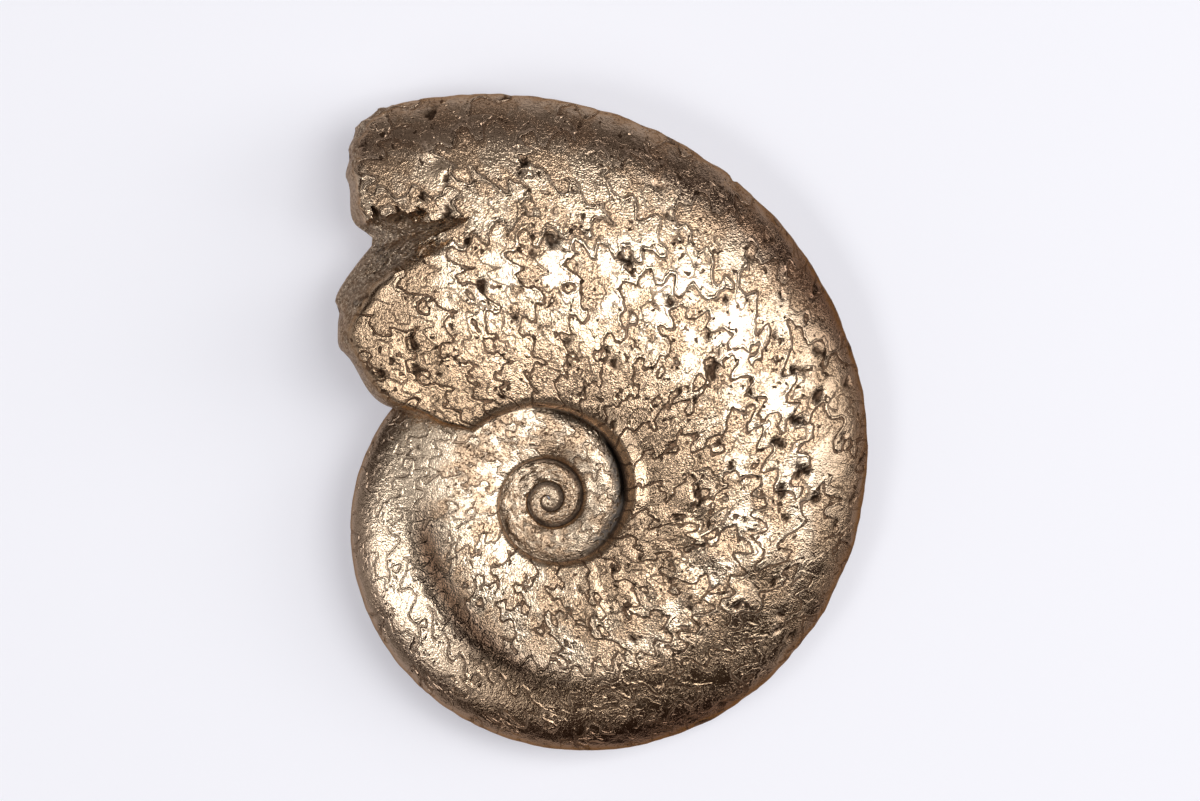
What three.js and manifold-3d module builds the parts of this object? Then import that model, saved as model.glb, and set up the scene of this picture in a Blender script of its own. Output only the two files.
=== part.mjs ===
// A coiled fossil shell: a compressed ammonite preserved as a solid metallic cast, lying on its side.
// It grew as one tube wound in a plane, so it is one solid: each whorl wraps the one before it, the
// inner whorls show as steps in the umbilicus on both sides, and the tube ends in a broken, fluted septum.
// Units are millimetres, +Z up. The origin is under the middle of the shell, on the surface it lies on.
import * as THREE from "three";
import { mergeVertices } from "three/addons/utils/BufferGeometryUtils.js";
import Module from "manifold-3d";

const { lerp, smoothstep, degToRad } = THREE.MathUtils;
const TURN = 2 * Math.PI;

// Growth. The tube is placed by its growth angle, in radians, anticlockwise from +X when seen from above.
// Each size is given one full turn along, and grows by its rate per radian.
const GROWTH = {
  venterRadius: { size: 13.51, rate: 0.151 }, // from the coiling axis to the outer rim
  seamRadius: { size: 3.2, rate: 0.13 }, // from the axis to where a whorl meets the one inside it
  halfThickness: { size: 2.25, rate: 0.15 }, // from the middle plane to the crest of the flank
};
const FIRST_ANGLE = -14;
const LAST_ANGLE = degToRad(474.3); // where the broken end crosses the rim

// The whorl's section, as shares of the way from the seam (0) to the rim (1).
const INNER_EDGE = -0.005; // just inside the whorl below
const SHOULDER = 0.06; // top of the umbilical wall
const CREST = 0.3; // thickest point of the flank
const SHOULDER_DROP = 0.1; // how far the flank falls from crest to shoulder
const WALL_POWER = 2.6;
const FLANK_POWER = 2;

// Low relief of the flank, in millimetres at one full turn.
const FURROW = { at: 0.55, width: 0.09, depth: 0.26, from: 3.1, to: 5.6 };
const RIDGE = { at: 0.76, width: 0.08, height: 0.12, from: 3.1, to: 5.9 };
const RIBS = { at: 0.66, width: 0.14, height: 0.06, perTurn: 30, lean: 0.5 };

// The broken end follows the last septum: two saddles stand forward with a lobe cut back between them.
// Each point gives how far the middle of the end stands ahead of where it crosses the rim, in radians.
const END_OUTLINE = [
  { share: 0, forward: 0.42 }, // the corner at the seam
  { share: 0.1, forward: 0.54 },
  { share: 0.24, forward: 0.6 }, // front of the inner saddle
  { share: 0.42, forward: 0.51 },
  { share: 0.53, forward: 0.38 },
  { share: 0.63, forward: 0.13 }, // bottom of the lobe
  { share: 0.72, forward: 0.2 }, // front of the outer saddle
  { share: 0.83, forward: 0.14 },
  { share: 0.9, forward: 0.09 },
  { share: 1, forward: 0 },
];
const END_ROUNDING = 0.09; // how far its edges on the flanks stand behind its middle, in radians
const LOBE_NOTCH = { at: 0.6, width: 0.055, depth: 0.2 }; // the lobe cuts deeper into the flanks
const SEPTUM_RINGS = 3;
const SEPTUM_INSET = 0.1; // how much narrower the middle is than the edges

// The lower flank is worn flat where the shell lies on it.
const REST_TILT = degToRad(3.8); // between the middle plane and the surface it lies on
const REST_HIGH_SIDE = degToRad(157); // the direction in which the middle plane rises
const WEAR_DEPTH = 0.12;

// Facets.
const SECTION_FACETS = 36;
const LENGTHS = [
  { from: -14, to: -10.2, facets: 16 },
  { from: -10.2, to: -5.6, facets: 22 },
  { from: -5.6, to: -1.1, facets: 28 },
  { from: -1.1, to: 1.7, facets: 24 },
  { from: 1.7, to: 5, facets: 42 },
  { from: 5, to: LAST_ANGLE, facets: 46 },
];
const WELD = 1e-4;
const SMALLEST_EDGE = 4e-3; // slivers left by a cut or join are closed up below this

const wasm = await Module();
wasm.setup();

function grown({ size, rate }, angle) {
  return size * Math.exp(rate * (angle - TURN));
}

function bump(share, { at, width }) {
  return Math.exp(-(((share - at) / width) ** 2));
}

// Half the whorl's thickness at a share of the way from seam to rim, as a share of its thickest.
function flankProfile(share) {
  if (share >= CREST) {
    const outward = (share - CREST) / (1 - CREST);
    return Math.max(0, 1 - outward ** FLANK_POWER) ** (1 / FLANK_POWER);
  }
  const inward = (CREST - share) / (CREST - SHOULDER);
  if (share >= SHOULDER) return 1 - SHOULDER_DROP * inward ** 2;
  const down = Math.min(1, (SHOULDER - share) / (SHOULDER - INNER_EDGE));
  return (1 - SHOULDER_DROP) * (1 - down ** WALL_POWER) ** (1 / WALL_POWER);
}

// The furrow, the ridge outside it and the ribs, as a height to add to the flank.
function flankRelief(share, angle) {
  const along = ({ from, to }) =>
    smoothstep(angle, from, from + 0.7) * (1 - smoothstep(angle, to - 1.2, to));
  const ribPhase = RIBS.perTurn * (angle + RIBS.lean * (share - RIBS.at) ** 2);
  const ribs =
    RIBS.height * bump(share, RIBS) * Math.cos(ribPhase) * smoothstep(angle, 3, 5);
  return (
    RIDGE.height * bump(share, RIDGE) * along(RIDGE) -
    FURROW.depth * bump(share, FURROW) * along(FURROW) +
    ribs * grown({ size: 1, rate: 0.15 }, angle)
  );
}

// How far the broken end stands ahead of where it crosses the rim, at a share of the way from seam to rim.
function endForward(share) {
  const inside = Math.max(0, share);
  const next = END_OUTLINE.findIndex((point, i) => i > 0 && inside <= point.share);
  const [a, b] = [END_OUTLINE[next - 1], END_OUTLINE[next]];
  return lerp(a.forward, b.forward, smoothstep(inside, a.share, b.share));
}

// How far the edge of the broken end stands behind its middle.
function endSetBack(share) {
  return END_ROUNDING * (1 - share ** 8) + LOBE_NOTCH.depth * bump(share, LOBE_NOTCH);
}

// A point of the tube. Around runs from the rim over the upper flank to the inner edge and back below.
// Past the edge of the broken end, domed runs from 0 to 1 and brings the flanks together.
function tubePoint(around, angle, reach, domed) {
  const share = INNER_EDGE + ((1 - INNER_EDGE) * (1 + Math.cos(around))) / 2;
  const rounding = Math.cos((domed * Math.PI) / 2);
  const at = angle + reach * (endForward(share) - endSetBack(share) * rounding);
  const wayIn = lerp(share, 0.5, SEPTUM_INSET * domed);
  const shape = flankProfile(share);
  const relief = flankRelief(share, at) * Math.min(1, 2 * shape);
  const height = (grown(GROWTH.halfThickness, at) * shape + relief) * rounding;
  const radius = lerp(grown(GROWTH.seamRadius, at), grown(GROWTH.venterRadius, at), wayIn);
  const side = Math.sign(Math.sin(around)) || 0;
  return new THREE.Vector3(
    radius * Math.cos(at),
    radius * Math.sin(at),
    side * height,
  );
}

// The middle of the flat end of a length, or of the septum.
function capMiddle(angle, reach) {
  const at = angle + reach * endForward(0.5);
  const radius = lerp(grown(GROWTH.seamRadius, at), grown(GROWTH.venterRadius, at), 0.5);
  return new THREE.Vector3(radius * Math.cos(at), radius * Math.sin(at), 0);
}

// One length of the tube: a closed cylinder bent round the coiling axis.
// The last length ends in the septum: its last rings dome over and close in on the middle.
function tubeLength({ from, to, facets }) {
  const isLast = to === LAST_ANGLE;
  const rings = facets + (isLast ? SEPTUM_RINGS : 0);
  const geometry = new THREE.CylinderGeometry(1, 1, 1, SECTION_FACETS, rings);
  const position = geometry.getAttribute("position");
  const point = new THREE.Vector3();
  for (let i = 0; i < position.count; i += 1) {
    point.fromBufferAttribute(position, i);
    const around = Math.atan2(point.x, point.z);
    const ring = Math.round((0.5 - point.y) * rings);
    const along = Math.min(1, ring / facets);
    const angle = lerp(from, to, along);
    const reach = isLast ? along ** 6 : 0;
    const domed = Math.max(0, ring - facets) / (SEPTUM_RINGS + 0.5);
    const onAxis = Math.hypot(point.x, point.z) < 0.5;
    point.copy(onAxis ? capMiddle(angle, reach) : tubePoint(around, angle, reach, domed));
    position.setXYZ(i, point.x, point.y, point.z);
  }
  return geometry;
}

function solidFrom(geometry) {
  const bare = geometry.clone();
  bare.deleteAttribute("normal");
  bare.deleteAttribute("uv");
  const merged = mergeVertices(bare, WELD);
  return new wasm.Manifold(
    new wasm.Mesh({
      numProp: 3,
      vertProperties: merged.getAttribute("position").array,
      triVerts: new Uint32Array(merged.index.array),
    }),
  );
}

function geometryFrom(solid) {
  const mesh = solid.simplify(SMALLEST_EDGE).getMesh();
  return new THREE.BufferGeometry()
    .setAttribute("position", new THREE.BufferAttribute(mesh.vertProperties, 3))
    .setIndex(new THREE.BufferAttribute(mesh.triVerts, 1));
}

// The first chamber, a flattened bead that closes the middle of the coil.
function firstChamber() {
  const radius = grown(GROWTH.venterRadius, FIRST_ANGLE);
  const flatness = 0.35;
  return new THREE.SphereGeometry(radius, 16, 10).scale(1, 1, flatness);
}

function shell() {
  const pieces = [firstChamber(), ...LENGTHS.map(tubeLength)].map(solidFrom);
  return geometryFrom(pieces.reduce((whole, piece) => whole.add(piece)));
}

// Lays the shell on its side, wears its lower flank flat and puts the origin under its middle.
function laidDown(geometry) {
  const tiltAxis = new THREE.Vector3(
    Math.sin(REST_HIGH_SIDE),
    -Math.cos(REST_HIGH_SIDE),
    0,
  );
  geometry.applyMatrix4(new THREE.Matrix4().makeRotationAxis(tiltAxis, REST_TILT));
  geometry.computeBoundingBox();
  const size = 4 * GROWTH.venterRadius.size;
  const floor = new THREE.BoxGeometry(size, size, size);
  floor.translate(0, 0, geometry.boundingBox.min.z + WEAR_DEPTH - size / 2);
  const worn = geometryFrom(solidFrom(geometry).subtract(solidFrom(floor)));
  worn.computeBoundingBox();
  const { min, max } = worn.boundingBox;
  worn.translate(-(min.x + max.x) / 2, -(min.y + max.y) / 2, -min.z);
  return worn;
}

const pyrite = new THREE.MeshStandardMaterial({
  color: 0x9a7f55,
  roughness: 0.38,
  metalness: 0.9,
});

const ammonite = new THREE.Mesh(laidDown(shell()), pyrite);
ammonite.name = "ammonite";

const fossil = new THREE.Group();
fossil.add(ammonite);

export default fossil;
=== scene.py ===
"""The look of a pyritised ammonite: a coiled fossil shell lying on its side on a pale table.

The growth of the shell is worked out in millimetres, and the finished mesh is in metres. A place
on the shell is given by its growth angle and its share. The growth angle, in radians, runs from
-17 in the first chamber to 8.9 at the broken end; on the last whorl, pi is at the left, 1.5 pi at
the bottom, 2 pi at the right and 2.5 pi at the top. The share runs from 0 at the seam to 1 at the
rim.
"""

import logging
import math
from dataclasses import dataclass
from enum import Enum
from typing import Any

import bpy
import numpy as np
from mathutils import Matrix, Vector, noise

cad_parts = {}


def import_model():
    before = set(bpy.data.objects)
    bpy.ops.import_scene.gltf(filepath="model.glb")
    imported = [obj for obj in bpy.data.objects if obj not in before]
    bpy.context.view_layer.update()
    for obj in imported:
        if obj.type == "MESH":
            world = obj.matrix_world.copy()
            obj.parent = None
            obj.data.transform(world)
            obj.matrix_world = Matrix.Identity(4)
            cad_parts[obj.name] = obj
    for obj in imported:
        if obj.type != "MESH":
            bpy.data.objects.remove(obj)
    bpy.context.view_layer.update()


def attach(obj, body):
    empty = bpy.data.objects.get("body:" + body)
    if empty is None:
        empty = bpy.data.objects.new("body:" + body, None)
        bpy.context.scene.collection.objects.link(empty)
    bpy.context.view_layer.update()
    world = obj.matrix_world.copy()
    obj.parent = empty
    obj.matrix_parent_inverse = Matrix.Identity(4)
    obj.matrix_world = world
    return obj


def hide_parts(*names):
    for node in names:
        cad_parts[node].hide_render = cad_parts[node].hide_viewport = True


LOG = logging.getLogger("ammonite")
MM = 0.001
TURN = 2 * math.pi
Colour = tuple[float, float, float, float]
Pair = tuple[float, float]
Stops = tuple[Pair, ...]


class Layer(Enum):
    """The numbers stored on the shell's points for its finish."""

    SEPTA = "septa"
    SLOPE = "suture_slope"
    PITTED = "pitted"
    BROKEN = "broken_face"
    HOLLOW = "hollow"
    CREVICE = "crevice"
    GROWTH = "growth_angle"
    SHARE = "whorl_share"


def ease(low: float, high: float, values: np.ndarray) -> np.ndarray:
    """Goes smoothly from 0 at low to 1 at high.

    Args:
        low: where the step starts.
        high: where it ends.
        values: the numbers to pass through the step.

    Returns:
        The eased numbers.
    """
    share = np.clip((values - low) / (high - low), 0.0, 1.0)
    return share * share * (3.0 - 2.0 * share)


def between(rise: Pair, fall: Pair, values: np.ndarray) -> np.ndarray:
    """Rises smoothly from 0 to 1, and falls back to 0 further on."""
    return ease(*rise, values) * (1 - ease(*fall, values))


def bell(values: np.ndarray, middle: float, width: float) -> np.ndarray:
    """A smooth bump of height 1.

    Args:
        values: the numbers to pass through the bump.
        middle: where the bump is highest.
        width: how far from the middle it has fallen to about a third.

    Returns:
        The height of the bump at each value.
    """
    return np.exp(-(((values - middle) / width) ** 2))


def through(stops: Stops, values: np.ndarray) -> np.ndarray:
    """A curve that levels out at every stop, like a row of saddles and lobes.

    Args:
        stops: (place, height) pairs in rising order of place.
        values: the places to read the curve at.

    Returns:
        The curve's height at each place.
    """
    places, heights = np.array(stops).T
    inside = np.clip(values, places[0], places[-1])
    after = np.clip(np.searchsorted(places, inside), 1, len(stops) - 1)
    share = (inside - places[after - 1]) / (places[after] - places[after - 1])
    share = share * share * (3.0 - 2.0 * share)
    return heights[after - 1] + (heights[after] - heights[after - 1]) * share


@dataclass(frozen=True)
class Lumps:
    """Smooth random unevenness, the same on every run.

    The size is how far apart the lumps are, in millimetres. The seed moves to another part of
    the pattern, and each octave after the first adds finer lumps.
    """

    size: float
    seed: float
    octaves: int = 2

    def at(self, places: np.ndarray) -> np.ndarray:
        """Reads the pattern.

        Args:
            places: a grid of places in millimetres.

        Returns:
            A number of about -1 to 1 at each place.
        """
        shift = Vector((self.seed, 1.7 * self.seed, -2.3 * self.seed))
        rows = places.reshape(-1, 3) / self.size
        heights = [noise.fractal(Vector(row) + shift, 1.0, 2.0, self.octaves) for row in rows]
        return np.array(heights).reshape(places.shape[:-1])


@dataclass(frozen=True)
class Law:
    """A length that grows by a constant rate along the coil."""

    size: float
    rate: float

    def at(self, angle: np.ndarray) -> np.ndarray:
        """The length in millimetres at a growth angle."""
        return self.size * np.exp(self.rate * (angle - TURN))


@dataclass(frozen=True)
class Section:
    """The cross-section of the whorl, in shares of the way from the seam (0) to the rim (1)."""

    inner_edge: float = -0.005
    shoulder: float = 0.034
    crest: float = 0.3
    rim_part: float = 0.02
    shoulder_drop: float = 0.1
    wall_power: float = 2.2

    def height(self, share: np.ndarray) -> np.ndarray:
        """Half the thickness at each share, as a part of the thickest.

        Args:
            share: places from the seam (0) to the rim (1).

        Returns:
            Heights from 0 at the two edges to 1 at the crest.
        """
        outward = np.clip((share - self.crest) / (1 - self.crest), 0, 1)
        outer = np.sqrt(1 - outward**2)
        inward = np.clip((self.crest - share) / (self.crest - self.shoulder), 0, 1)
        inner = 1 - self.shoulder_drop * inward**2
        down = np.clip((self.shoulder - share) / (self.shoulder - self.inner_edge), 0, 1)
        wall = (1 - down**self.wall_power) ** (1 / self.wall_power)
        return np.where(share >= self.crest, outer, inner * wall)

    def rows(self, count: int, tallness: float) -> np.ndarray:
        """Spreads rows evenly over the section's outline.

        Args:
            count: the number of faces from the inner edge to the rim.
            tallness: half the thickness over the seam-to-rim distance.

        Returns:
            count + 1 shares, from the inner edge to the rim.
        """
        fine = np.concatenate(
            [
                np.linspace(self.inner_edge, self.shoulder, 400),
                np.linspace(self.shoulder, 1 - self.rim_part, 2000)[1:],
                1 - self.rim_part * np.linspace(1, 0, 400)[1:] ** 2,
            ]
        )
        steps = np.hypot(np.diff(fine), tallness * np.diff(self.height(fine)))
        along = np.concatenate([[0.0], np.cumsum(steps)])
        return np.interp(np.linspace(0, along[-1], count + 1), along, fine)


@dataclass(frozen=True)
class Coil:
    """How the tube grows, and how it lies."""

    rim: Law = Law(13.51, 0.151)
    seam: Law = Law(3.2, 0.13)
    half_thickness: Law = Law(2.25, 0.15)
    growth: Law = Law(1.0, 0.15)
    section: Section = Section()
    first_angle: float = -17.0
    last_angle: float = math.radians(474.3)
    rest_tilt: float = math.radians(3.8)
    rest_high_side: float = math.radians(157)
    centre: tuple[float, float, float] = (-2.4534, -3.2705, 2.6042)

    def laid_down(self, points: np.ndarray) -> np.ndarray:
        """Turns points from the coil's own plane to where the shell lies.

        Args:
            points: places in millimetres about the coiling axis.

        Returns:
            The same places in the part's frame, in millimetres, with nothing below the table.
        """
        axis = Vector((math.sin(self.rest_high_side), -math.cos(self.rest_high_side), 0))
        turn = np.array(Matrix.Rotation(self.rest_tilt, 3, axis))
        lying = points @ turn.T + np.array(self.centre)
        lying[:, 2] = np.maximum(lying[:, 2], 0.0)
        return lying

    def angles_along(self, first: float, last: float, count: int, evenness: float) -> np.ndarray:
        """Growth angles spread along the tube.

        Args:
            first: the angle to start from.
            last: the angle to end at.
            count: the number of steps.
            evenness: 1 gives even lengths along the rim, near 0 even angles.

        Returns:
            count + 1 angles.
        """
        rate = self.rim.rate * evenness
        share = np.linspace(math.exp(rate * first), math.exp(rate * last), count + 1)
        return np.log(share) / rate


@dataclass(frozen=True)
class Sutures:
    """Where the septa meet the outside: a frilled line for each chamber.

    The base is the plain course of a line, as (way in from the rim, chambers forward) pairs. The
    frills, leaves and crinkles on it have their sizes in millimetres at full tallness.
    """

    base: Stops = (
        (0.0, -0.75), (0.05, -0.3), (0.1, -0.5), (0.165, 0.15), (0.225, 0.08), (0.33, -1.0),
        (0.4, -0.72), (0.49, 0.5), (0.58, 0.45), (0.66, -0.05), (0.75, 0.6), (0.83, 0.2),
        (0.91, 0.6), (1.0, 0.45),
    )
    even_density: float = 2.4
    late_density: float = 2.2
    late_rate: float = 0.45
    late_angle: float = 8.3
    full_tallness: float = 10.3
    size_power: float = 0.3
    size_limits: Pair = (0.3, 1.2)
    frilled_from: Pair = (1.5, 6.5)
    least_radius: float = 0.3
    mid_radius: float = 0.55
    frill_size: float = 0.98
    frill_depth: float = 0.36
    leaf_size: float = 0.86
    leaf_depth: float = 0.33
    crinkle_size: float = 0.4
    crinkle_depth: float = 0.06
    drift_depth: float = 0.12

    def crowding(self, angle: np.ndarray) -> np.ndarray:
        """How much closer the septa stand near the end of growth, in septa per radian."""
        return self.late_density * np.exp(self.late_rate * (angle - self.late_angle))

    def density(self, angle: np.ndarray) -> np.ndarray:
        """Septa per radian."""
        return self.even_density + self.crowding(angle)

    def count(self, angle: np.ndarray) -> np.ndarray:
        """Septa passed since the start of growth."""
        return self.even_density * angle + self.crowding(angle) / self.late_rate

    @staticmethod
    def scallop(values: np.ndarray) -> np.ndarray:
        """A wave with rounded tops and pointed bottoms, from -1 to 1."""
        return 2.0 * np.abs(np.sin(math.pi * values)) ** 0.85 - 1.0

    @staticmethod
    def loop(values: np.ndarray) -> np.ndarray:
        """A wave with full, squarish tops."""
        return np.sin(TURN * values) + 0.16 * np.sin(3 * TURN * values)

    def crinkle(self, values: np.ndarray, shift: np.ndarray) -> np.ndarray:
        """The finest waves on a frill or a leaf, values millimetres along it."""
        return self.crinkle_depth * np.sin(TURN * values / self.crinkle_size + shift)

    def phase(self, coil: Coil, angle: np.ndarray, share: np.ndarray) -> np.ndarray:
        """Counts chambers along the shell, so that a suture lies at every whole number.

        Args:
            coil: the coil that the septa divide.
            angle: growth angles.
            share: places from the seam (0) to the rim (1).

        Returns:
            The count at each place.
        """
        seam = coil.seam.at(angle)
        tall = coil.rim.at(angle) - seam
        per_mm = self.density(angle) / np.maximum(seam + share * tall, self.least_radius)
        size = np.clip((tall / self.full_tallness) ** self.size_power, *self.size_limits)
        frilled = ease(*self.frilled_from, tall) * (0.45 + 0.55 * ease(0.0, 0.35, share))
        rate = coil.rim.rate * (1 - self.size_power)
        along = self.mid_radius * Law(coil.rim.size, rate).at(angle) / rate
        across = (1.0 - share) * tall / size
        drift = self.drift_depth * np.sin(0.7 * along + 1.1 * across + 1)
        drift += self.drift_depth * np.sin(1.9 * across - 0.9 * along)
        leaf = self.leaf_depth * self.loop(along / self.leaf_size + drift + 0.13 * across)
        leaf += self.crinkle(along, 3 * drift + 3 * across)
        frill = self.frill_depth * self.scallop(across / self.frill_size + drift + 0.06 * along)
        frill += self.crinkle(across, 4 * drift + along)
        depth = (across + frilled * leaf) * size / tall
        base = through(self.base, np.clip(depth, 0, 1))
        return self.count(angle) - base - frill * size * per_mm * frilled


@dataclass(frozen=True)
class BrokenEnd:
    """The end of the last whorl, broken along a septum.

    The middle of the whorl and the edge of its upper flank end at (share, radians past the rim's
    end) pairs. A slit in that edge is a share, a width in shares and a length in radians.
    """

    middle: Stops = (
        (0.0, 0.445), (0.1, 0.565), (0.24, 0.625), (0.42, 0.525), (0.53, 0.405),
        (0.635, 0.17), (0.7, 0.19), (0.83, 0.14), (0.9, 0.1), (0.96, 0.06), (1.0, -0.01),
    )
    edge: Stops = (
        (0.0, 0.405), (0.1, 0.505), (0.24, 0.565), (0.38, 0.485), (0.45, 0.42), (0.5, 0.25),
        (0.535, 0.08), (0.57, 0.0), (0.64, -0.01), (0.68, 0.06), (0.715, 0.16),
        (0.76, 0.15), (0.83, 0.1), (0.9, 0.06), (0.96, 0.01), (1.0, -0.08),
    )
    slits: tuple[tuple[float, float, float], ...] = (
        (0.605, 0.014, 0.13),
        (0.542, 0.014, 0.1),
        (0.665, 0.009, 0.07),
    )
    lobe_start: Pair = (0.5, 0.6)
    lobe_end: Pair = (0.76, 0.82)
    under_cut: float = 0.07
    frill_length: float = 0.062
    frill_depth: float = 0.05
    cliff: float = 0.15
    cliff_width: float = 0.035
    ramp: float = 1.5

    def reach(self, angle: np.ndarray, last: float) -> np.ndarray:
        """How strongly the tube's columns already follow the broken edge."""
        return ease(last - self.ramp, last, angle)

    def drop(self, past: np.ndarray, share: np.ndarray, side: np.ndarray) -> np.ndarray:
        """How far the broken face has fallen from the flank to the middle of the whorl.

        Args:
            past: radians past the rim's end.
            share: places from the seam (0) to the rim (1).
            side: 1 above, -1 below.

        Returns:
            0 on the flank, and nearly 1 at the middle of the whorl.
        """
        frill = np.abs(np.sin(math.pi * past / self.frill_length)) ** 0.7
        lobed = between(self.lobe_start, self.lobe_end, share)
        warped = share + self.frill_depth * (frill - 0.6) * lobed
        edge = through(self.edge, np.clip(warped, 0, 1))
        for place, width, length in self.slits:
            edge = edge - length * bell(share, place, width)
        middle = through(self.middle, share)
        edge = np.where(side > 0, edge, middle - self.under_cut)
        run = np.clip((past - edge) / np.maximum(middle - edge, 0.02), 0, 1)
        fall = self.cliff * ease(0.0, self.cliff_width, past - edge)
        lobe_floor = fall + (1 - fall) * run**1.3
        rounded = 1 - np.sqrt(np.maximum(1 - run**2, 0))
        mixed = np.where(side > 0, rounded + (lobe_floor - rounded) * lobed, rounded)
        return np.clip(mixed, 0, 1)


@dataclass(frozen=True)
class Relief:
    """Everything that stands above or below the smooth tube, in millimetres.

    A span holds the growth angles between which a feature sets in, and those between which it
    ends. A bulge is a growth angle, a share, its reach along each of them, and its height.
    """

    groove_depth: float = 0.008
    groove_width: float = 0.055
    cushion: float = 0.01
    step: float = 0.014
    swell: float = 0.045
    knob: float = 0.0162
    rim_knob: float = 0.035
    pit: float = 0.14
    crumb: float = 0.12
    furrow: float = 0.05
    ridge: float = 0.14
    rib: float = 0.06
    inner_rib: float = 0.1
    inner_round: float = 0.8
    slit: float = 0.25
    bevel: float = 0.17
    bevel_width: float = 0.085
    hollow_span: tuple[Pair, Pair] = ((2.9, 3.5), (4.2, 5.2))
    ridge_span: tuple[Pair, Pair] = ((2.8, 3.6), (4.6, 6.0))
    rib_span: tuple[Pair, Pair] = ((4.6, 5.4), (5.9, 6.6))
    ribs_per_turn: float = 26
    inner_ribs_per_turn: float = 22
    slit_span: tuple[Pair, Pair] = ((-0.1, 0.15), (0.75, 0.95))
    bevel_span: tuple[Pair, Pair] = ((5.9, 6.3), (7.2, 7.5))
    bulges: tuple[tuple[float, float, float, float, float], ...] = (
        (5.992, 0.61, 0.085, 0.075, 0.2),
        (5.779, 0.63, 0.08, 0.075, 0.16),
        (8.19, 0.835, 0.05, 0.028, 0.1),
        (8.15, 0.765, 0.05, 0.028, 0.1),
    )
    swells: Lumps = Lumps(2.2, 3.1)
    knobs: Lumps = Lumps(0.7, 7.7)
    pockets: Lumps = Lumps(0.75, 11.3, 3)
    crumbs: Lumps = Lumps(0.36, 5.0)

    def hollow_reach(self, angle: np.ndarray) -> np.ndarray:
        """How strong the spiral hollow is along the shell."""
        return between(*self.hollow_span, angle)

    def hollow(self, angle: np.ndarray, share: np.ndarray) -> np.ndarray:
        """How deep in the spiral hollow a place is, for the painted shade of its finish."""
        low = 0.51 + 0.1 * ease(3.8, 4.8, angle)
        return bell(share, low, 0.1) * self.hollow_reach(angle)

    def broad(self, angle: np.ndarray, share: np.ndarray) -> np.ndarray:
        """The furrow, ridge, ribs and bulges of the whole flank.

        Args:
            angle: growth angles.
            share: places from the seam (0) to the rim (1).

        Returns:
            Heights in millimetres.
        """
        ridge = bell(share, 0.605, 0.08) * between(*self.ridge_span, angle)
        furrow = bell(share, 0.43, 0.08) * self.hollow_reach(angle)
        ribs = np.cos(self.ribs_per_turn * (angle + 0.6 * (share - 0.3)))
        ribs *= bell(share, 0.3, 0.22) * between(*self.rib_span, angle)
        inner_ribs = np.cos(self.inner_ribs_per_turn * angle)
        inner_ribs *= bell(share, 0.16, 0.12) * (1 - ease(-3.0, 1.5, angle))
        slit = between(*self.slit_span, angle) * ease(0.4, 0.44, share)
        bevel = np.clip(1 - share / self.bevel_width, 0, 1) * between(*self.bevel_span, angle)
        young = 1 - ease(1.4, 1.9, angle)
        young *= 0.3 + 0.7 * ease(-1.2, -0.2, angle) + 0.4 * (1 - ease(-6.0, -4.5, angle))
        rounding = young * np.clip((share - 0.2) / 0.28, -1, 1) ** 2
        total = self.ridge * ridge - self.furrow * furrow + self.rib * ribs - self.bevel * bevel
        total += self.inner_rib * inner_ribs - self.inner_round * rounding - self.slit * slit
        for at, place, long, wide, high in self.bulges:
            total = total + high * bell(angle, at, long) * bell(share, place, wide)
        return total

    def chambers(self, phase: np.ndarray, slope: np.ndarray, size: np.ndarray) -> np.ndarray:
        """The groove of each suture, the cushion between two, and the step past each.

        Args:
            phase: the suture count at each place.
            slope: how fast it changes, per millimetre.
            size: how big the cushions and steps are.

        Returns:
            Heights in millimetres.
        """
        part = phase - np.floor(phase)
        nearest = np.minimum(part, 1 - part) / slope
        groove = self.groove_depth * bell(nearest, 0, self.groove_width)
        cushion = self.cushion * (4 * part * (1 - part)) ** 0.5
        return (cushion + (part - 0.5) * self.step) * size - groove

    def unevenness(self, places: np.ndarray, angle: np.ndarray, share: np.ndarray) -> np.ndarray:
        """The weathered swells and knobs.

        Args:
            places: places in millimetres about the coiling axis.
            angle: growth angles.
            share: places from the seam (0) to the rim (1).

        Returns:
            Heights in millimetres.
        """
        weathered = 0.12 + 0.88 * ease(4.6, 5.6, angle) * ease(0.1, 0.3, share)
        weathered *= 1 - 0.6 * ease(7.3, 7.8, angle)
        rim = self.rim_knob * ease(0.86, 0.97, share)
        swells = self.swells.at(places) * self.swell * weathered
        return swells + self.knobs.at(places) * (self.knob * weathered + rim)

    def pits(self, places: np.ndarray, angle: np.ndarray) -> np.ndarray:
        """Where a pit is, from 0 (outside) to 1 (at its floor)."""
        return ease(0.56, 0.76, self.pockets.at(places)) * ease(4.2, 5.6, angle)

    def crumbly(
        self, places: np.ndarray, angle: np.ndarray, face: np.ndarray, growth: np.ndarray
    ) -> np.ndarray:
        """The crumbs of the broken face and of the first whorls.

        Args:
            places: places in millimetres about the coiling axis.
            angle: growth angles.
            face: 1 on the broken face, 0 elsewhere.
            growth: the size of the whorl against the last one.

        Returns:
            Heights in millimetres.
        """
        first_whorls = 0.9 * (1 - ease(-4.0, 0.5, angle)) * np.minimum(growth / 0.2, 1)
        return (face + first_whorls) * self.crumbs.at(places) * self.crumb


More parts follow.
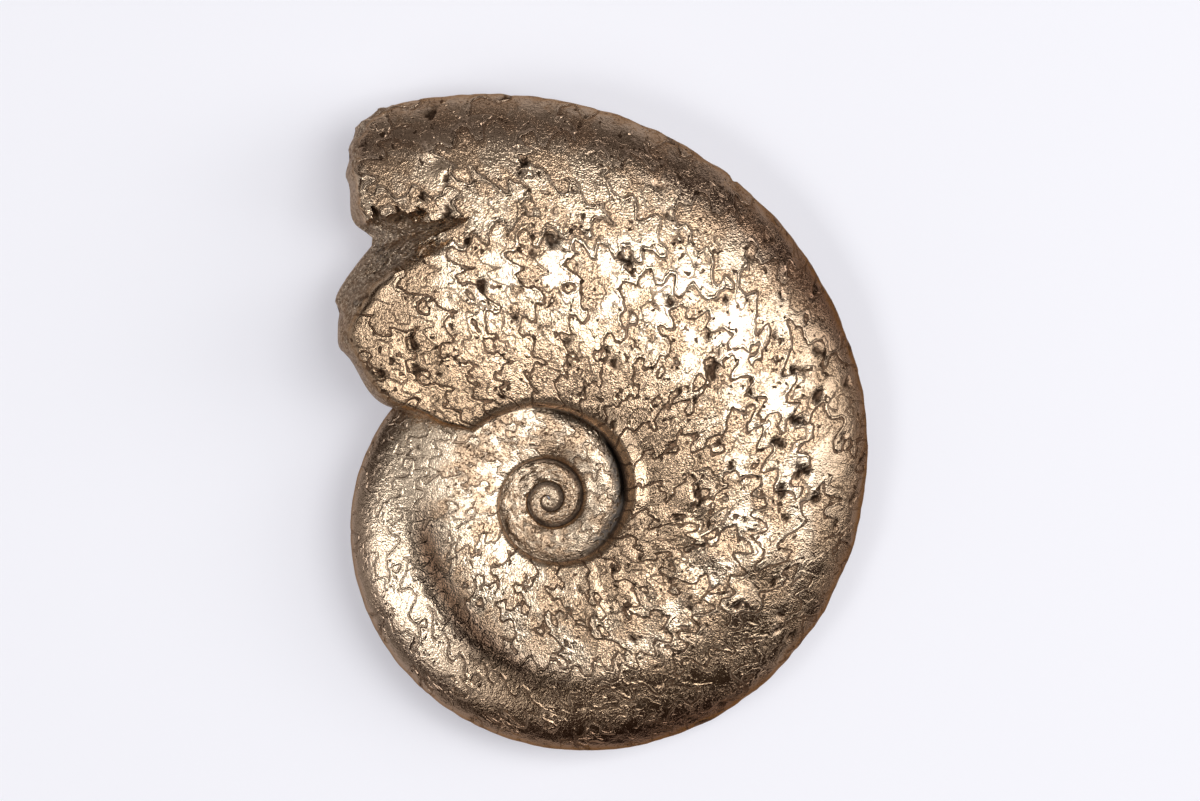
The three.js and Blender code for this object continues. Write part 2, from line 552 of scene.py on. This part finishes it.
@dataclass(frozen=True)
class Shell:
    """The ammonite: one closed surface, wound from the first chamber to the broken end."""

    coil: Coil = Coil()
    sutures: Sutures = Sutures()
    broken: BrokenEnd = BrokenEnd()
    relief: Relief = Relief()
    inner_columns: int = 150
    columns: int = 330
    end_columns: int = 84
    end_part: float = 0.6
    upper_rows: int = 110
    chamber_end: float = -13.0
    rounded_start: float = 2.0
    pinhole: float = 0.012
    face_drop: Pair = (0.04, 0.26)
    detail_limits: Pair = (0.35, 1.3)
    crevice_width: float = 0.022
    inner_crevice_width: float = 0.26
    merge_distance: float = 2e-5
    crease: float = math.radians(50)

    def section_rows(self) -> tuple[np.ndarray, np.ndarray]:
        """The rows that run along the tube, half as many below as above.

        Returns:
            The share of each row, and its side: 1 above and on the rim, -1 below.
        """
        coil = self.coil
        tallness = coil.half_thickness.size / (coil.rim.size - coil.seam.size)
        upper = coil.section.rows(self.upper_rows, tallness)
        lower = upper[::-2]
        share = np.concatenate([upper, lower[1:]])
        side = np.concatenate([np.ones(len(upper)), -np.ones(len(lower) - 1)])
        return share, side

    def smooth_place(
        self, angle: np.ndarray, share: np.ndarray, side: np.ndarray
    ) -> tuple[np.ndarray, np.ndarray, np.ndarray]:
        """Where the smooth tube runs, before its relief.

        Args:
            angle: the column's growth angle.
            share: the row's share.
            side: the row's side.

        Returns:
            The places about the coiling axis, the true growth angle of each, and how far the
            broken face has fallen there.
        """
        coil = self.coil
        middle = through(self.broken.middle, share)
        true_angle = angle + self.broken.reach(angle, coil.last_angle) * middle
        drop = self.broken.drop(true_angle - coil.last_angle, share, side)
        opening = ease(self.chamber_end, self.chamber_end + 5, true_angle)
        seam = np.maximum(coil.seam.at(true_angle) * opening, self.pinhole)
        rim = coil.rim.at(true_angle)
        started = np.clip((angle - coil.first_angle) / self.rounded_start, 0, 1)
        taper = np.sqrt(1 - (1 - started) ** 2)
        radius = seam + share * (rim - seam) * taper
        height = coil.half_thickness.at(true_angle) * coil.section.height(share) * taper
        height = height * side * (1 - drop)
        places = np.stack(
            [radius * np.cos(true_angle), radius * np.sin(true_angle), height], axis=-1
        )
        return places, true_angle, drop

    def suture_count(self, angle: np.ndarray, share: np.ndarray) -> tuple[np.ndarray, np.ndarray]:
        """The suture count and how fast it changes.

        Args:
            angle: true growth angles.
            share: places from the seam (0) to the rim (1).

        Returns:
            The count, and its change per millimetre.
        """
        seam = self.coil.seam.at(angle)
        tall = self.coil.rim.at(angle) - seam
        radius = seam + share * tall
        small = 1e-4
        here = self.sutures.phase(self.coil, angle, share)
        ahead = self.sutures.phase(self.coil, angle + small, share)
        outward = self.sutures.phase(self.coil, angle, share + small)
        slope = np.hypot((ahead - here) / (small * radius), (outward - here) / (small * tall))
        return here, np.maximum(slope, 0.05)

    def crevice(self, angle: np.ndarray, share: np.ndarray) -> np.ndarray:
        """How deep in the seam between two whorls a place is, for the painted shade of the
        finish.

        Args:
            angle: true growth angles.
            share: places from the seam (0) to the rim (1).

        Returns:
            0 in the open, 1 in the seam.
        """
        coil = self.coil
        seam = coil.seam.at(angle)
        tall = coil.rim.at(angle) - seam
        cover = coil.seam.at(angle + TURN)
        near = (cover - seam - share * tall) / cover
        reach = self.crevice_width + self.inner_crevice_width * (1 - ease(-5.6, -3.6, angle))
        covered = angle + TURN < coil.last_angle + 0.2
        under = (1 - ease(0.0, 1.0, (near + 0.01) / reach)) * covered
        return np.maximum(under, 1 - ease(-0.003, 0.008, share))

    @staticmethod
    def outward(places: np.ndarray) -> np.ndarray:
        """Which way the surface faces at each place.

        Args:
            places: a grid of places, columns by rows.

        Returns:
            A direction of length 1 at each place.
        """
        normal = np.cross(np.gradient(places, axis=1), np.gradient(places, axis=0))
        return normal / np.maximum(np.linalg.norm(normal, axis=-1, keepdims=True), 1e-9)

    def carved(
        self, angle: np.ndarray, share: np.ndarray, side: np.ndarray
    ) -> tuple[np.ndarray, dict[Layer, np.ndarray]]:
        """The tube with its relief, and what its finish needs.

        Args:
            angle: the column's growth angle, at each place of the sheet.
            share: the row's share.
            side: the row's side.

        Returns:
            The places about the coiling axis, and the numbers of every layer.
        """
        places, true_angle, drop = self.smooth_place(angle, share, side)
        phase, slope = self.suture_count(true_angle, share)
        growth = self.coil.growth.at(true_angle)
        size = np.clip(growth, *self.detail_limits)
        face = ease(*self.face_drop, drop)
        pits = self.relief.pits(places, true_angle)
        height = self.relief.chambers(phase, slope, size) - self.relief.pit * pits
        height += self.relief.unevenness(places, true_angle, share) * size
        height *= 1 - face
        height += self.relief.broad(true_angle, share) * growth
        height += self.relief.crumbly(places, true_angle, face, growth)
        height *= ease(self.coil.section.inner_edge, 0.02, share) * ease(1.0, 0.95, drop)
        height *= ease(self.coil.first_angle, self.coil.first_angle + 4, true_angle)
        layers = {
            Layer.SEPTA: phase,
            Layer.SLOPE: slope,
            Layer.PITTED: pits,
            Layer.BROKEN: face,
            Layer.HOLLOW: self.relief.hollow(true_angle, share),
            Layer.CREVICE: self.crevice(true_angle, share),
            Layer.GROWTH: true_angle,
            Layer.SHARE: share,
        }
        return places + self.outward(places) * height[..., None], layers

    def sheet(self, angles: np.ndarray) -> bpy.types.Object:
        """The tube as one sheet: a grid bent round the coil, still in millimetres.

        Args:
            angles: the growth angle of each column.

        Returns:
            The sheet, still open along the inner edge and at its two ends.
        """
        shares, sides = self.section_rows()
        bpy.ops.mesh.primitive_grid_add(
            x_subdivisions=len(angles) - 1, y_subdivisions=len(shares) - 1, size=2
        )
        sheet = bpy.context.object
        sheet.name = "ammonite_shell"
        mesh = sheet.data
        flat = np.empty(len(mesh.vertices) * 3)
        mesh.vertices.foreach_get("co", flat)
        flat = flat.reshape(-1, 3)
        column = np.rint((flat[:, 0] + 1) / 2 * (len(angles) - 1)).astype(int)
        row = np.rint((flat[:, 1] + 1) / 2 * (len(shares) - 1)).astype(int)
        angle, share = np.meshgrid(angles, shares, indexing="ij")
        side = np.broadcast_to(sides, share.shape)
        places, layers = self.carved(angle, share, side)
        mesh.vertices.foreach_set("co", self.coil.laid_down(places[column, row]).ravel())
        for layer, values in layers.items():
            stored = mesh.attributes.new(layer.value, "FLOAT", "POINT")
            stored.data.foreach_set("value", values[column, row].astype(np.float32))
        mesh.update()
        return sheet

    def build(self) -> bpy.types.Object:
        """Winds the whole shell and closes it.

        Returns:
            The finished piece.
        """
        end = self.coil.last_angle
        inner_end = end - TURN
        outer_end = end - self.end_part
        inner = self.coil.angles_along(self.coil.first_angle, inner_end, self.inner_columns, 0.5)
        outer = self.coil.angles_along(inner_end, outer_end, self.columns, 1.0)
        last = self.coil.angles_along(outer_end, end, self.end_columns, 1.0)
        shell = self.sheet(np.concatenate([inner, outer[1:], last[1:]]))
        bpy.ops.object.mode_set(mode="EDIT")
        bpy.ops.mesh.select_all(action="SELECT")
        bpy.ops.mesh.remove_doubles(threshold=self.merge_distance)
        bpy.ops.mesh.select_all(action="DESELECT")
        bpy.ops.mesh.select_mode(type="EDGE")
        bpy.ops.mesh.select_non_manifold(
            use_wire=False, use_multi_face=False, use_non_contiguous=False, use_verts=False
        )
        bpy.ops.mesh.fill_holes(sides=0)
        bpy.ops.mesh.select_all(action="SELECT")
        bpy.ops.mesh.normals_make_consistent(inside=False)
        bpy.ops.object.mode_set(mode="OBJECT")
        shell.scale = (MM, MM, MM)
        bpy.ops.object.transform_apply(location=False, rotation=False, scale=True)
        bpy.ops.object.shade_smooth_by_angle(angle=self.crease)
        return shell


class Value:
    """A shader socket that can be used in sums: each operator adds a Math node."""

    def __init__(self, bench: "Bench", socket: bpy.types.NodeSocket) -> None:
        """Wraps one output socket of a bench's material."""
        self.bench = bench
        self.socket = socket

    def _math(self, operation: str, *terms: Any) -> "Value":
        """Adds one Math node.

        Args:
            operation: the Math node's operation.
            terms: its inputs, in order.

        Returns:
            The node's result.
        """
        inputs = dict(enumerate(terms))
        return self.bench.node("ShaderNodeMath", {"operation": operation}, inputs)

    def __add__(self, other: Any) -> "Value":
        """self + other."""
        return self._math("ADD", self, other)

    __radd__ = __add__

    def __sub__(self, other: Any) -> "Value":
        """self - other."""
        return self._math("SUBTRACT", self, other)

    def __rsub__(self, other: Any) -> "Value":
        """other - self."""
        return self._math("SUBTRACT", other, self)

    def __mul__(self, other: Any) -> "Value":
        """self * other."""
        return self._math("MULTIPLY", self, other)

    __rmul__ = __mul__

    def __truediv__(self, other: Any) -> "Value":
        """self / other."""
        return self._math("DIVIDE", self, other)

    def __rtruediv__(self, other: Any) -> "Value":
        """other / self."""
        return self._math("DIVIDE", other, self)

    def __abs__(self) -> "Value":
        """abs(self)."""
        return self._math("ABSOLUTE", self)

    def fraction(self) -> "Value":
        """The part after the decimal point."""
        return self._math("FRACT", self)

    def at_most(self, other: Any) -> "Value":
        """The smaller of the two."""
        return self._math("MINIMUM", self, other)

    def at_least(self, other: Any) -> "Value":
        """The larger of the two."""
        return self._math("MAXIMUM", self, other)

    def eased(self, low: float, high: float) -> "Value":
        """Goes smoothly from 0 at low to 1 at high.

        Args:
            low: where the step starts.
            high: where it ends; it may be below low, which turns the step round.

        Returns:
            The eased value.
        """
        turned = high < low
        step = self.bench.node(
            "ShaderNodeMapRange",
            {"interpolation_type": "SMOOTHSTEP"},
            {"Value": self, "From Min": min(low, high), "From Max": max(low, high)},
        )
        return 1 - step if turned else step

    def within(self, rise: Pair, fall: Pair) -> "Value":
        """Rises smoothly from 0 to 1, and falls back to 0 further on."""
        return self.eased(*rise) * self.eased(fall[1], fall[0])


class Bench:
    """The node tree of one material, with the calls that add to it."""

    def __init__(self, name: str) -> None:
        """Starts a material that holds only its object's own coordinates.

        Args:
            name: the material's name.
        """
        self.material = bpy.data.materials.new(name)
        self.material.use_nodes = True
        self.tree = self.material.node_tree
        self.tree.nodes.clear()
        self.place = self.node("ShaderNodeTexCoord", {}, {}, "Object")

    def node(
        self, kind: str, settings: dict[str, Any], inputs: dict[Any, Any], output: Any = 0
    ) -> Value:
        """Adds a node of any kind.

        Args:
            kind: the node's type.
            settings: its own settings, set before its inputs.
            inputs: a value or a link for each input, by name, identifier or number.
            output: the output to give back.

        Returns:
            The chosen output.
        """
        made = self.tree.nodes.new(kind)
        for key, value in settings.items():
            setattr(made, key, value)
        for key, value in inputs.items():
            socket = self.find(made.inputs, key)
            if isinstance(value, Value):
                self.tree.links.new(value.socket, socket)
            else:
                socket.default_value = value
        return Value(self, self.find(made.outputs, output))

    @staticmethod
    def find(sockets: Any, key: Any) -> bpy.types.NodeSocket:
        """Finds a socket by number, identifier or name.

        Args:
            sockets: a node's inputs or outputs.
            key: what to look for.

        Returns:
            The socket.
        """
        if isinstance(key, int):
            return sockets[key]
        for socket in sockets:
            if socket.identifier == key:
                return socket
        return sockets[key]

    def stored(self, layer: Layer) -> Value:
        """A number stored on the piece's own points."""
        return self.node("ShaderNodeAttribute", {"attribute_name": layer.value}, {}, "Fac")

    def speckle(self, size: float, detail: float, roughness: float = 0.5) -> Value:
        """Noise in the piece's own coordinates.

        Args:
            size: the size of its lumps, in millimetres.
            detail: how many finer layers it has.
            roughness: how strong the finer layers are.

        Returns:
            A value of about 0 to 1.
        """
        return self.node(
            "ShaderNodeTexNoise",
            {"noise_dimensions": "3D"},
            {
                "Vector": self.place,
                "Scale": 1 / (size * MM),
                "Detail": detail,
                "Roughness": roughness,
            },
            "Fac",
        )

    def blend(self, factor: Value, first: Any, second: Any) -> Value:
        """Mixes two colours.

        Args:
            factor: 0 gives the first, 1 the second.
            first: a colour or a link.
            second: a colour or a link.

        Returns:
            The mixed colour.
        """
        return self.node(
            "ShaderNodeMix",
            {"data_type": "RGBA"},
            {"Factor_Float": factor, "A_Color": first, "B_Color": second},
            "Result_Color",
        )

    def finish(self, sockets: dict[str, Any]) -> bpy.types.Material:
        """Ends the tree with one Principled shader.

        Args:
            sockets: a value or a link for each of the shader's sockets.

        Returns:
            The finished material.
        """
        surface = self.node("ShaderNodeBsdfPrincipled", {}, sockets, "BSDF")
        output = self.tree.nodes.new("ShaderNodeOutputMaterial")
        self.tree.links.new(surface.socket, output.inputs["Surface"])
        return self.material


class Marks:
    """Where every kind of mark lies on the shell, each a link from 0 (none) to 1 (full)."""

    def __init__(self, bench: Bench) -> None:
        """Reads the numbers stored on the shell, and places each kind of mark by them.

        Args:
            bench: the bench of the shell's material.
        """
        self.bench = bench
        self.septa = bench.stored(Layer.SEPTA)
        self.slope = bench.stored(Layer.SLOPE)
        self.pitted = bench.stored(Layer.PITTED)
        self.broken = bench.stored(Layer.BROKEN)
        self.hollow = bench.stored(Layer.HOLLOW)
        self.crevice = bench.stored(Layer.CREVICE)
        self.share = bench.stored(Layer.SHARE)
        self.growth = bench.stored(Layer.GROWTH)
        self.grain = bench.speckle(0.06, 1)
        self.granules = bench.speckle(0.2, 2, 0.6)
        self.patches = bench.speckle(1.3, 3, 0.6)
        self.crumbs = bench.speckle(0.14, 1.5, 0.65)
        self.first_whorls = self.growth.eased(0.5, -5.0)
        self.ridged = self.outer_flank()
        self.line, self.lips = self.suture_lines()
        self.bevel = self.share.eased(0.1, 0.07) * self.growth.within(*Relief.bevel_span)
        worn = self.growth.eased(4.2, 5.4).at_least(self.share.eased(0.6, 0.4))
        self.worn = worn * (1 - self.bevel)
        self.matte = self.matte_chambers()
        specks = bench.speckle(0.11, 1).eased(0.56, 0.66) * self.worn
        self.specks = specks * (0.2 + 0.8 * self.matte)
        self.pocks = bench.speckle(0.42, 1.5, 0.6).eased(0.66, 0.71) * self.growth.eased(4.6, 5.4)
        pinholes = bench.speckle(0.3, 1).eased(0.72, 0.78) * self.worn
        self.pinholes = pinholes.at_least(self.pocks * 0.9 * (1 - self.bevel))
        # Painted shade on the umbilical wall, broken up by the granules.
        wall = self.share.eased(0.04, 0.008) * self.growth.eased(1.0, 2.0)
        self.wall = wall * (0.3 + 0.85 * self.granules)
        self.dirt_and_shade = self.dark_marks()
        under_side = self.growth.within((-1.1, -0.6), (0.5, 1.0)) * self.share.eased(0.3, 0.4)
        self.clay = under_side * self.granules.eased(0.35, 0.55)
        # Black in the slit, and painted shade deep in the seams between whorls.
        slit = self.growth.within((-0.1, 0.1), (0.75, 0.95)) * self.share.eased(0.4, 0.43)
        self.black = slit.at_least(self.crevice.eased(0.35, 1.0) * 0.65)

    def outer_flank(self) -> Value:
        """The outer flank above and at the lower left, where the sutures stand up as ridges."""
        along = self.growth.eased(6.9, 7.4).at_least(self.growth.eased(5.3, 4.5))
        return along * self.share.eased(0.5, 0.66)

    def suture_lines(self) -> tuple[Value, Value]:
        """The lines where the septa meet the outside, which wander a little.

        Returns:
            The dark lines with fainter ones half-way between, and the lips on one side of them.
        """
        speckle = self.bench.speckle
        wander = (speckle(0.25, 2) - 0.5) * 0.06 + (speckle(0.7, 2) - 0.5) * 0.3
        placed = self.septa + wander * self.slope * (1 - self.ridged * 0.6)
        across = ((placed + 0.5).fraction() - 0.5) / self.slope
        halfway = abs(placed.fraction() - 0.5) / self.slope
        unbroken = (1 - self.broken).at_least(0.0)
        vivid = 0.08 + 0.47 * self.growth.eased(-4.0, 1.5) + 0.45 * self.growth.eased(3.2, 4.2)
        vivid = vivid * unbroken
        faint = speckle(2.4, 1).eased(0.44, 0.56) * self.growth.eased(4.5, 5.2) * unbroken * 0.7
        line = abs(across).eased(0.048, 0.018) * vivid
        line = line.at_least(halfway.eased(0.042, 0.016) * faint)
        lips = across.eased(0.02, 0.08) * across.eased(0.2, 0.1)
        return line * (1 - self.ridged * 0.3), lips * vivid

    def matte_chambers(self) -> Value:
        """Duller patches, which tend to end at a suture."""
        chamber = (self.septa.fraction() - 0.5) * 0.25
        return (self.patches + chamber).eased(0.38, 0.62) * (0.1 + 0.9 * self.worn)

    def deep_painted_shade(self) -> Value:
        """Painted shade: a deeper gold on the lower flank, the ribs and the top of the last
        whorl.

        Returns:
            Where the deeper gold is painted as shade.
        """
        lower = self.growth.within((3.8, 4.6), (5.2, 6.2)) * self.share.eased(0.45, 0.7)
        ribs = self.share.eased(0.45, 0.2) * self.growth.eased(4.6, 5.4)
        top = self.share.eased(0.55, 0.7) * self.growth.eased(6.9, 7.4)
        return lower.at_least(ribs * 0.9).at_least(top * 0.45)

    def shade(self) -> Value:
        """Painted shade in bronze on the lower and right flank, the inner whorls and the broken
        end's foot.

        Returns:
            Where the bronze painted shade lies.
        """
        lower_flank = self.growth.within((4.3, 5.2), (6.6, 7.6)) * self.share.eased(0.55, 0.3)
        lower_rim = self.growth.within((4.9, 5.3), (5.9, 6.3)) * self.share.eased(0.5, 0.7)
        right_rim = self.growth.within((5.4, 5.9), (6.8, 7.3)) * self.share.eased(0.68, 0.9)
        lower_end = self.growth.eased(8.1, 8.6) * self.share.eased(0.62, 0.5)
        shade = (lower_flank * 0.45).at_least(lower_rim * 0.62).at_least(right_rim * 0.85)
        shade = shade.at_least(lower_end * 0.95).at_least(self.growth.eased(1.5, 0.5) * 0.3)
        return shade * (1 - self.bevel)

    def rim_brown_and_shade(self) -> Value:
        """The brown of the rim, thinner at the top; its widening on the right is painted shade.

        Returns:
            Where the rim is brown, with painted shade on the right.
        """
        along = self.growth.eased(1.4, 2.4) * 0.7 + self.growth.eased(4.3, 5.3) * 0.3
        right = self.growth.within((5.2, 5.7), (6.6, 7.1))
        across = (self.share - right * 0.09).eased(0.78, 0.94)
        top = self.growth.eased(6.8, 7.8) * self.share.eased(0.86, 0.97)
        return along * across * (1 - top * 0.5)

    def dark_marks(self) -> Value:
        """Tarnished lines, pits and specks, and painted shade in the crevices between whorls.

        Returns:
            Where the tarnished marks and the painted shade lie.
        """
        dirt_and_shade = (self.line * 0.95).at_least(self.pitted).at_least(self.pinholes)
        dirt_and_shade = dirt_and_shade.at_least(self.broken * 0.6).at_least(self.specks * 0.8)
        dirt_and_shade = dirt_and_shade.at_least(self.first_whorls * 0.12)
        # Painted shade in the crevices between whorls.
        return dirt_and_shade.at_least(self.crevice.eased(0.1, 0.6) * 0.85)

    def holes(self) -> Value:
        """The floors of the pits and pocks."""
        return self.pitted.eased(0.3, 0.7).at_least(self.pocks) * (1 - self.bevel)


@dataclass(frozen=True)
class Pyrite:
    """Worn pyrite: bronze-gold metal, tarnished in its lines and pits, with painted shade on its
    darker flanks, in its spiral hollow and in the seams between whorls.
    """

    bright: Colour = (0.66, 0.53, 0.395, 1)
    # Deeper gold, for the matte patches and for painted shade.
    deep: Colour = (0.5, 0.353, 0.233, 1)
    # Bronze, for painted shade on the darker flanks and the inner whorls.
    bronze: Colour = (0.31, 0.216, 0.139, 1)
    # Umber: painted shade in the spiral hollow and on the umbilical wall, and the floors of the
    # pits.
    umber: Colour = (0.035, 0.02, 0.012, 1)
    # Brown of the rim, which on the right is painted shade.
    rim: Colour = (0.14, 0.073, 0.046, 1)
    grazing: Colour = (0.58, 0.42, 0.31, 1)
    # Tarnished brown of the lines and pits, also painted as shade in the spiral hollow and the
    # crevices.
    tarnish_and_shade: Colour = (0.092, 0.047, 0.026, 1)
    stone: Colour = (0.33, 0.29, 0.25, 1)
    clay: Colour = (0.13, 0.125, 0.125, 1)
    # Black for the slit, and for painted shade deep in the crevices between whorls.
    gap_black_and_shade: Colour = (0.01, 0.008, 0.007, 1)

    def colour(self, marks: Marks) -> Value:
        """Lays one tone over another, from the clean metal to the black of the slit and the
        painted shade deep in the crevices.

        Args:
            marks: where each kind of mark lies.

        Returns:
            The colour of the surface.
        """
        blend = marks.bench.blend
        # Deeper gold for the random matte patches, and as painted shade on the lower flank, ribs
        # and top.
        colour = blend(marks.matte.at_least(marks.deep_painted_shade()), self.bright, self.deep)
        # Painted shade in bronze on the lower and right flank, the inner whorls and the broken
        # end's foot.
        colour = blend(marks.shade(), colour, self.bronze)
        # Brown toward the rim; its widening on the right is painted shade.
        colour = blend(marks.rim_brown_and_shade() * 0.9, colour, self.rim)
        # Tarnished marks, and painted shade in the spiral hollow and the crevices between whorls.
        dirt_and_hollow_shade = marks.dirt_and_shade.at_least(marks.hollow).at_most(1.0)
        colour = blend(dirt_and_hollow_shade * 0.9, colour, self.tarnish_and_shade)
        # Umber as painted shade in the spiral hollow and on the umbilical wall, and on the pit
        # floors.
        deepest = marks.hollow.at_least(marks.wall * 0.6).at_least(marks.holes())
        colour = blend(deepest * 0.75, colour, self.umber)
        colour = blend(marks.broken * marks.patches.eased(0.3, 0.7) * 0.4, colour, self.stone)
        colour = blend(marks.broken * marks.crumbs.eased(0.48, 0.6) * 0.7, colour, self.bright)
        colour = blend(marks.clay * 0.8, colour, self.clay)
        # Black in the slit, and painted shade deep in the crevices.
        return blend(marks.black, colour, self.gap_black_and_shade)

    @staticmethod
    def roughness(marks: Marks) -> Value:
        """How rough the surface is: smooth metal, duller where it is worn, tarnished, painted
        with crevice shade or clayey.

        Args:
            marks: where each kind of mark lies.

        Returns:
            The roughness.
        """
        inner_whorls = marks.growth.eased(3.9, 3.1)
        rough = 0.2 + marks.matte * 0.04 + inner_whorls * 0.07 + (marks.grain - 0.5) * 0.1
        return rough + marks.dirt_and_shade * 0.12 + marks.clay * 0.3 - marks.hollow * 0.06

    @staticmethod
    def metallic(marks: Marks) -> Value:
        """How metallic the surface is: less under clay, where it is tarnished or painted with
        crevice shade, on the broken face and in the black gaps, and on the umbilical wall.

        Args:
            marks: where each kind of mark lies.

        Returns:
            The metallic share.
        """
        covered = (marks.clay * 0.8).at_least(marks.dirt_and_shade * 0.2).at_least(marks.black)
        covered = covered.at_least(marks.broken * 0.2)
        return (1 - covered) * (1 - marks.wall * 0.5)

    @staticmethod
    def height(marks: Marks) -> Value:
        """The finest relief, in millimetres.

        Args:
            marks: where each kind of mark lies.

        Returns:
            Heights for the Bump node.
        """
        broken, worn, matte = marks.broken, marks.worn, marks.matte
        coarse = (broken * 1.5).at_least(marks.first_whorls * 0.35)
        height = (marks.grain - 0.5) * (0.011 + worn * 0.002 + matte * 0.011 + broken * 0.035)
        height = height + (marks.granules - 0.5) * (
            0.006 + worn * 0.01 + matte * 0.018 + coarse * 0.11
        )
        height = height + (marks.crumbs - 0.5) * (broken * 0.09 + marks.ridged * 0.024)
        height = height + marks.lips * (0.018 + marks.ridged * 0.044)
        return height - marks.line * 0.06 - marks.pinholes * 0.03 - marks.specks * 0.014

    def make(self) -> bpy.types.Material:
        """Builds the material.

        Returns:
            The finished material.
        """
        bench = Bench("pyrite")
        marks = Marks(bench)
        bump = {"Strength": 1.0, "Distance": MM, "Height": self.height(marks)}
        return bench.finish(
            {
                "Base Color": self.colour(marks),
                "Roughness": self.roughness(marks),
                "Metallic": self.metallic(marks),
                "Specular Tint": self.grazing,
                "Normal": bench.node("ShaderNodeBump", {}, bump, "Normal"),
            }
        )


@dataclass(frozen=True)
class Softbox:
    """A soft oblong light, placed by its direction from the shell, in degrees and metres."""

    name: str
    from_above: float
    heading: float
    distance: float
    wide: float
    deep: float
    brightness: float

    def add(self) -> None:
        """Adds the light, turned to the shell."""
        polar, heading = math.radians(self.from_above), math.radians(self.heading)
        level = math.sin(polar)
        direction = Vector(
            (level * math.cos(heading), level * math.sin(heading), math.cos(polar))
        )
        light = bpy.data.lights.new(self.name, "AREA")
        light.shape = "RECTANGLE"
        light.size = self.wide
        light.size_y = self.deep
        light.energy = self.brightness * math.pi * self.wide * self.deep
        lamp = bpy.data.objects.new(self.name, light)
        lamp.location = direction * self.distance
        lamp.rotation_euler = direction.to_track_quat("Z", "Y").to_euler()
        bpy.context.scene.collection.objects.link(lamp)


@dataclass(frozen=True)
class Studio:
    """The pale table in metres, the soft lights, and the camera in millimetres."""

    table_size: float = 1.2
    table_colour: Colour = (0.62, 0.625, 0.65, 1)
    cloud_size: float = 120
    cloud_depth: float = 0.015
    table_roughness: float = 0.6
    table_glow: float = 0.437
    glow_colour: Colour = (0.66, 0.665, 0.75, 1)
    room_colour: Colour = (0.047, 0.03, 0.021, 1)
    sensor_width: float = 36
    view_width: float = 51.37
    view_offset: Pair = (-0.27, 0.96)
    camera_height: float = 300.0
    focus_height: float = 2.6
    lights: tuple[Softbox, ...] = (
        Softbox("overhead", 10, 55, 0.45, 0.62, 0.2, 0.75),
        Softbox("key", 21, 14, 0.42, 0.2, 0.2, 6.0),
        Softbox("flank", 54, 4, 0.42, 0.22, 0.26, 3.2),
        Softbox("far", 58, 88, 0.5, 0.4, 0.24, 0.3),
        Softbox("back", 80, 85, 0.5, 0.9, 0.2, 0.18),
        Softbox("fill", 35, 203, 0.42, 0.13, 0.12, 7.5),
        Softbox("left", 57, 192, 0.42, 0.2, 0.16, 0.75),
        Softbox("low_fill", 38, 238, 0.42, 0.18, 0.14, 1.5),
        Softbox("side", 78, 200, 0.5, 0.9, 0.2, 0.45),
    )

    def table(self) -> None:
        """Lays the table under the shell."""
        deselect_all()
        bpy.ops.mesh.primitive_plane_add(size=self.table_size, location=(0, 0, 0))
        top = bpy.context.object
        top.name = "table"
        bench = Bench("table_top")
        clouded = tuple(part * (1 - self.cloud_depth) for part in self.table_colour)
        tone = bench.blend(bench.speckle(self.cloud_size, 1), self.table_colour, clouded)
        material = bench.finish(
            {
                "Base Color": tone,
                "Roughness": self.table_roughness,
                "Emission Color": self.glow_colour,
                "Emission Strength": self.table_glow,
            }
        )
        top.data.materials.append(material)

    def room(self) -> None:
        """Sets the dim room around the lights."""
        world = bpy.data.worlds.new("room")
        world.use_nodes = True
        world.node_tree.nodes["Background"].inputs["Color"].default_value = self.room_colour
        bpy.context.scene.world = world
        bpy.context.scene.view_settings.view_transform = "Standard"

    def camera(self) -> None:
        """Hangs the camera straight above, looking down."""
        lens = bpy.data.cameras.new("camera")
        distance = self.camera_height - self.focus_height
        lens.sensor_width = self.sensor_width
        lens.lens = self.sensor_width * distance / self.view_width
        lens.clip_start, lens.clip_end = 0.01, 10
        hung = bpy.data.objects.new("camera", lens)
        hung.location = Vector((*self.view_offset, self.camera_height)) * MM
        bpy.context.scene.collection.objects.link(hung)
        bpy.context.scene.camera = hung

    def build(self) -> None:
        """Builds the whole studio."""
        self.table()
        self.room()
        self.camera()
        for light in self.lights:
            light.add()


def deselect_all() -> None:
    """Leaves nothing selected, so that an operator acts only on what comes next."""
    for thing in bpy.context.selected_objects:
        thing.select_set(False)


def main() -> None:
    """Builds the fossil and the studio round it."""
    logging.basicConfig(level=logging.INFO, format="%(name)s: %(message)s")
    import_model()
    deselect_all()
    shell = Shell().build()
    shell.data.materials.append(Pyrite().make())
    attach(shell, "root")
    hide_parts("ammonite")
    triangles = sum(len(face.vertices) - 2 for face in shell.data.polygons)
    LOG.info("%s: %d triangles, in place of the solid", shell.name, triangles)
    Studio().build()


if __name__ == "__main__":
    main()
